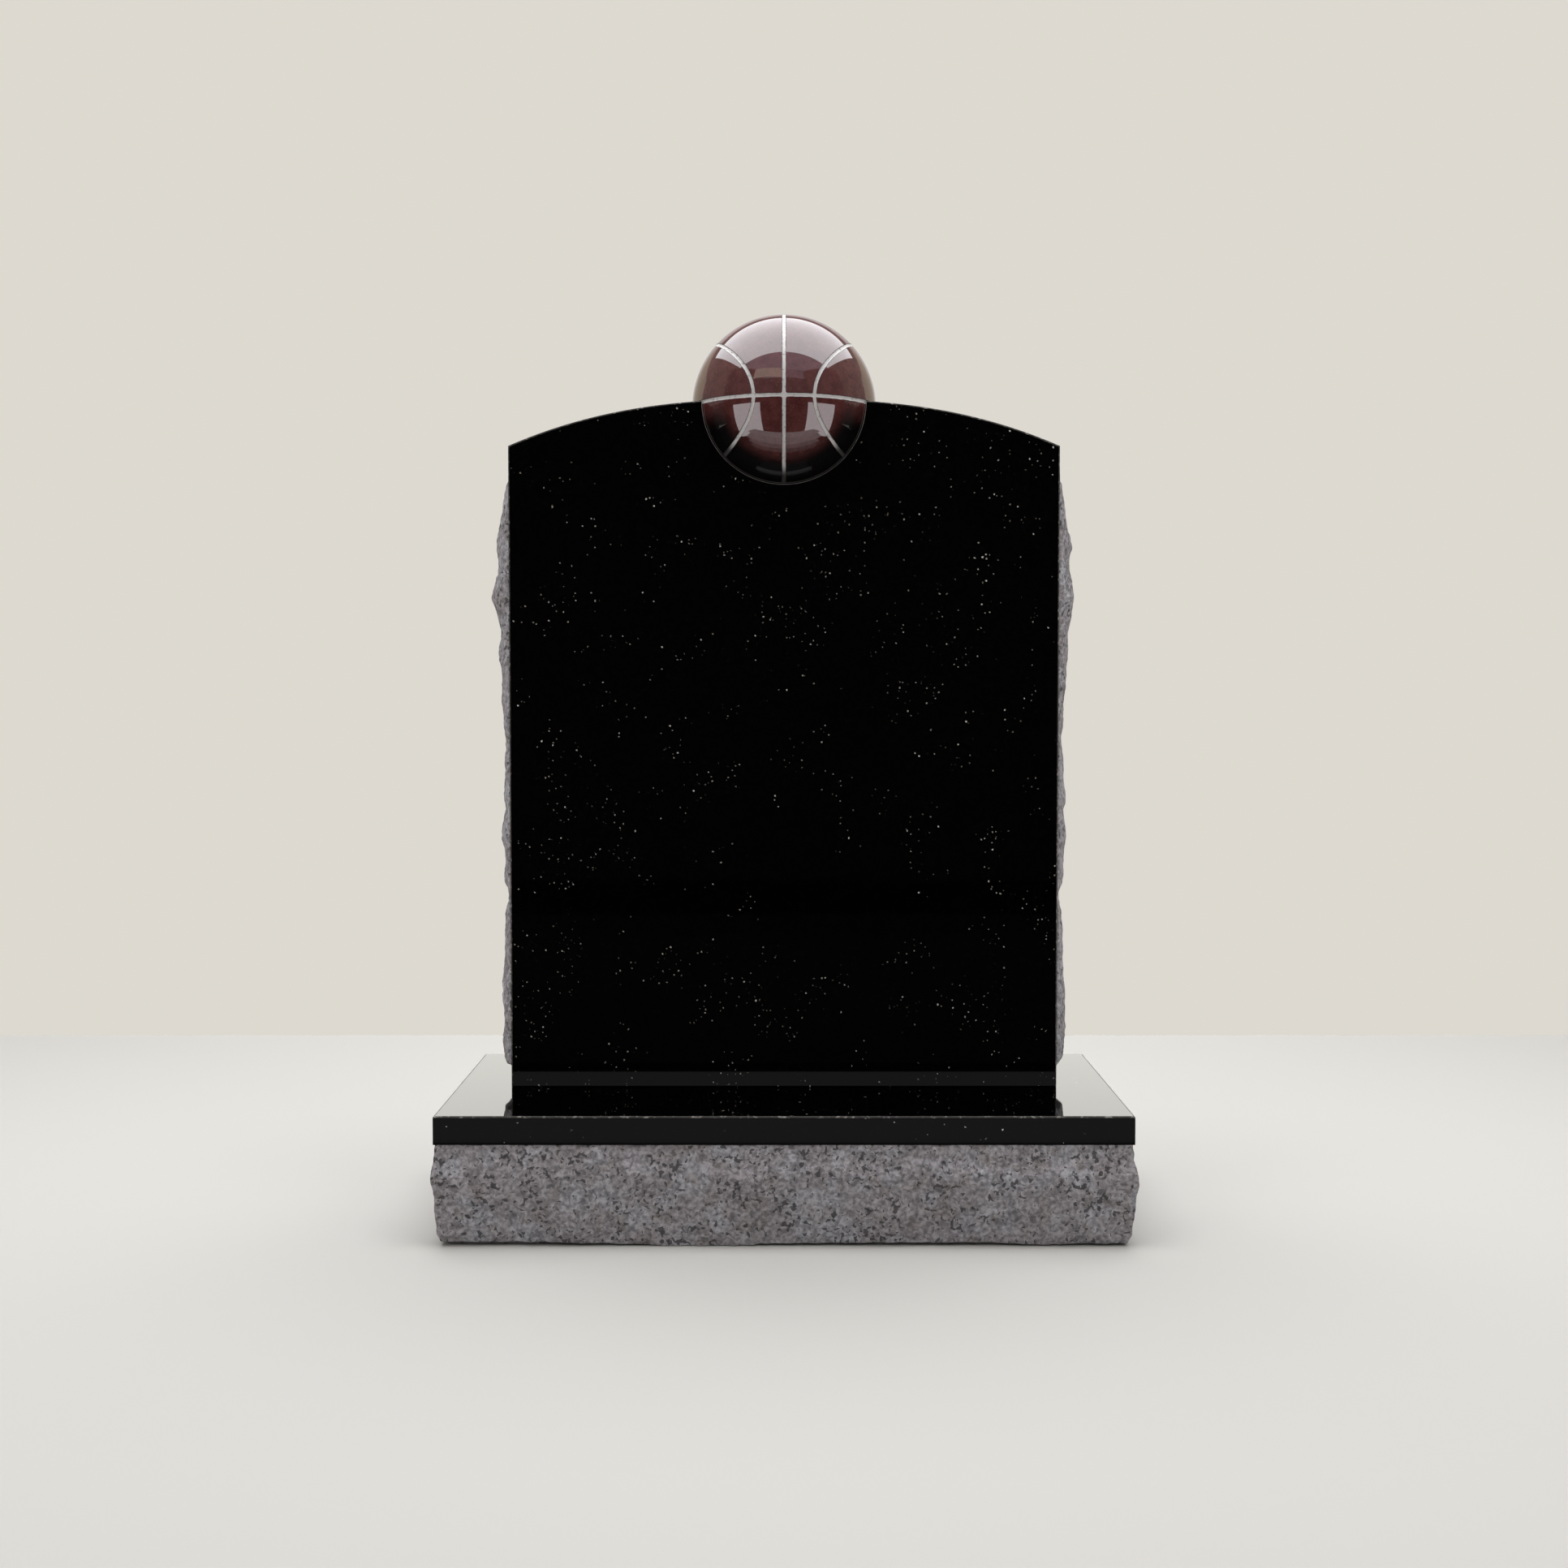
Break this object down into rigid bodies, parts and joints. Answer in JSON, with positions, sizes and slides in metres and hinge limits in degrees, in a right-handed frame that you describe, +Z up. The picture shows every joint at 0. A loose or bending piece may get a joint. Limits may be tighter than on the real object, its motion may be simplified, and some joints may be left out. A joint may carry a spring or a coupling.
{
  "type": "headstone",
  "caption": "Upright polished granite tablet with an arched top and rock-pitched sides on a low base, with a grooved stone ball sunk in a socket in its top.",
  "frame": {"origin": "middle of the base's underside, on the surface that the headstone stands on", "axes": "+Z up, -Y out of the polished front, +X to the right as seen from the front"},
  "size_m": [0.6165, 0.3132, 0.8359],
  "materials": {
    "black_granite": "mirror-polished near-black granite with sparse bronze flecks, broken grey on the rock-pitched sides",
    "pitched_granite": "rock-pitched black granite that breaks to a mottled purple-grey, with a polished black top and margin",
    "red_granite": "polished dark red-brown granite with pale grey seam lines"
  },
  "bodies": {
    "root": {"tablet": "black_granite", "base": "pitched_granite", "ball": "red_granite"}
  },
  "joints": []
}
